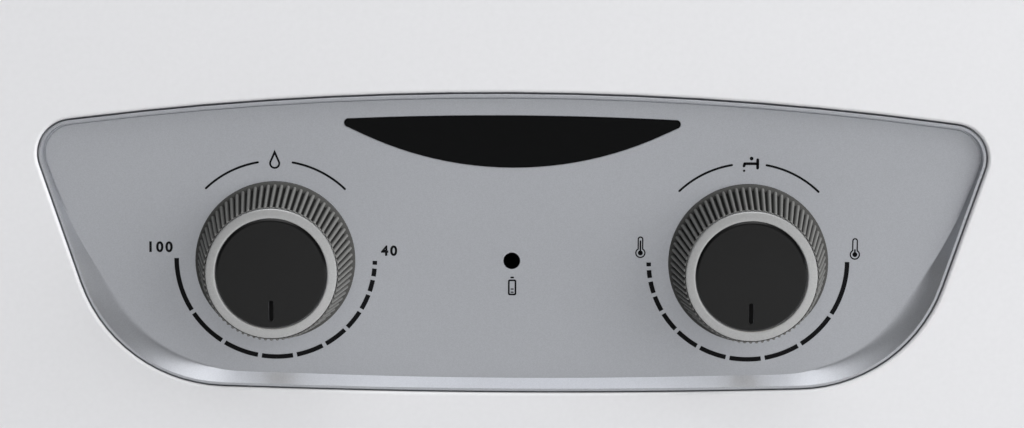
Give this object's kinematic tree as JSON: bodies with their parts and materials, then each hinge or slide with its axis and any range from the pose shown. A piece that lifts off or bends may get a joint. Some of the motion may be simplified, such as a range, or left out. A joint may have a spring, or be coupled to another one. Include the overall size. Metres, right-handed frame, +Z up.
{
  "type": "gas water heater",
  "caption": "Wall-hung instantaneous gas water heater: white sheet cover, silver control panel with knobs, flue collar on top, pipe connections below.",
  "frame": {"origin": "on the wall plane, midway between the two upper hanging holes of the back plate", "axes": "+X to the right seen from the front, +Y into the wall, +Z up; the front faces -Y"},
  "size_m": [0.315, 0.2068, 0.635],
  "materials": {
    "cover_white": "gloss enamel",
    "panel_silver": "satin metallic paint",
    "badge_black": "high gloss",
    "lamp_red": "clear tinted",
    "knob_grey": "satin",
    "knob_silver": "satin metallic paint",
    "knob_black": "satin gloss",
    "black_plastic": "moulded",
    "unit_grey": "moulded",
    "galvanised": "galvanised",
    "hood_steel": "aluminised",
    "screw_steel": "zinc plated",
    "spring_steel": "bright",
    "burner_steel": "stainless, heat tinted",
    "copper": "copper, tinned in places",
    "brass": "machined",
    "die_cast": "die cast",
    "ceramic": "glazed ceramic",
    "rubber": "moulded",
    "lead_red": "silicone",
    "lead_white": "silicone",
    "switch_red": "moulded",
    "cell_label": "printed sleeve"
  },
  "bodies": {
    "cover": {"front_cover": "cover_white", "control_panel": "panel_silver", "panel_nuts": "screw_steel", "badge_plate": "badge_black", "lamp_holder": "black_plastic", "battery_lamp": "lamp_red", "knob_bushes": "black_plastic"},
    "gas_knob": {"gas_knob_grip": "knob_grey", "gas_knob_ring": "knob_silver", "gas_knob_disc": "knob_black", "gas_knob_clip": "spring_steel"},
    "water_knob": {"water_knob_grip": "knob_grey", "water_knob_ring": "knob_silver", "water_knob_disc": "knob_black", "water_knob_clip": "spring_steel"},
    "chassis": {"back_plate": "galvanised", "cover_screws": "screw_steel", "wall_brackets": "galvanised", "bracket_screws": "screw_steel", "flue_collar": "hood_steel", "draught_hood": "hood_steel", "thermal_switches": "die_cast", "chamber_shell": "copper", "fin_block": "copper", "fin_tube": "copper", "exchanger_coil": "copper", "burner_tray": "burner_steel", "burner_bars": "burner_steel", "gas_manifold": "die_cast", "gas_injectors": "brass", "ignition_electrode": "ceramic", "flame_sensor": "ceramic", "ignition_unit": "unit_grey", "ignition_lead": "lead_red", "sensor_lead": "lead_white", "gas_valve_body": "die_cast", "gas_solenoid": "black_plastic", "plunger_spring": "spring_steel", "water_valve_body": "brass", "diaphragm": "rubber", "diaphragm_cover": "brass", "diaphragm_screws": "screw_steel", "diaphragm_spring": "spring_steel", "switch_bracket": "galvanised", "microswitch": "black_plastic", "hot_pipe": "copper", "cold_pipe": "copper", "gas_pipe": "copper", "pipe_bracket": "galvanised", "pipe_stubs": "brass", "union_nuts": "brass", "battery_box": "black_plastic", "battery_contact": "spring_steel"},
    "gas_spindle": {"gas_spindle": "brass"},
    "water_spindle": {"water_spindle": "brass"},
    "push_rod": {"push_rod": "spring_steel"},
    "switch_button": {"switch_button": "switch_red"},
    "solenoid_plunger": {"solenoid_plunger": "spring_steel"},
    "battery_drawer": {"battery_drawer": "unit_grey", "battery_cell": "cell_label"}
  },
  "joints": [
    {"name": "cover_pull", "type": "slide", "parent": "chassis", "child": "cover", "axis": [0, -1, 0], "range_m": [0, 0.25]},
    {"name": "gas_knob_turn", "type": "hinge", "parent": "cover", "child": "gas_knob", "pos_m": [-0.05915, -0.1868, -0.415], "axis": [0, -1, 0], "range_deg": [-90, 90]},
    {"name": "water_knob_turn", "type": "hinge", "parent": "cover", "child": "water_knob", "pos_m": [0.05915, -0.1868, -0.415], "axis": [0, -1, 0], "range_deg": [-90, 90]},
    {"name": "gas_spindle_turn", "type": "hinge", "parent": "chassis", "child": "gas_spindle", "pos_m": [-0.05915, -0.1868, -0.415], "axis": [0, -1, 0], "range_deg": [-90, 90]},
    {"name": "water_spindle_turn", "type": "hinge", "parent": "chassis", "child": "water_spindle", "pos_m": [0.05915, -0.1868, -0.415], "axis": [0, -1, 0], "range_deg": [-90, 90]},
    {"name": "push_rod_slide", "type": "slide", "parent": "chassis", "child": "push_rod", "axis": [-1, 0, 0], "range_m": [0, 0.0025], "stiffness_N_per_m": 400, "deforming": ["diaphragm_spring"]},
    {"name": "switch_button_slide", "type": "slide", "parent": "chassis", "child": "switch_button", "axis": [-1, 0, 0], "range_m": [0, 0.0025]},
    {"name": "solenoid_plunger_slide", "type": "slide", "parent": "chassis", "child": "solenoid_plunger", "axis": [0, 1, 0], "range_m": [0, 0.003], "stiffness_N_per_m": 400, "deforming": ["plunger_spring"]},
    {"name": "battery_drawer_slide", "type": "slide", "parent": "chassis", "child": "battery_drawer", "axis": [0, 0, -1], "range_m": [0, 0.075]}
  ],
  "couplings": [
    {"joint": "gas_spindle_turn", "follows": "gas_knob_turn", "ratio": 1},
    {"joint": "water_spindle_turn", "follows": "water_knob_turn", "ratio": 1},
    {"joint": "switch_button_slide", "follows": "push_rod_slide", "ratio": 1}
  ]
}
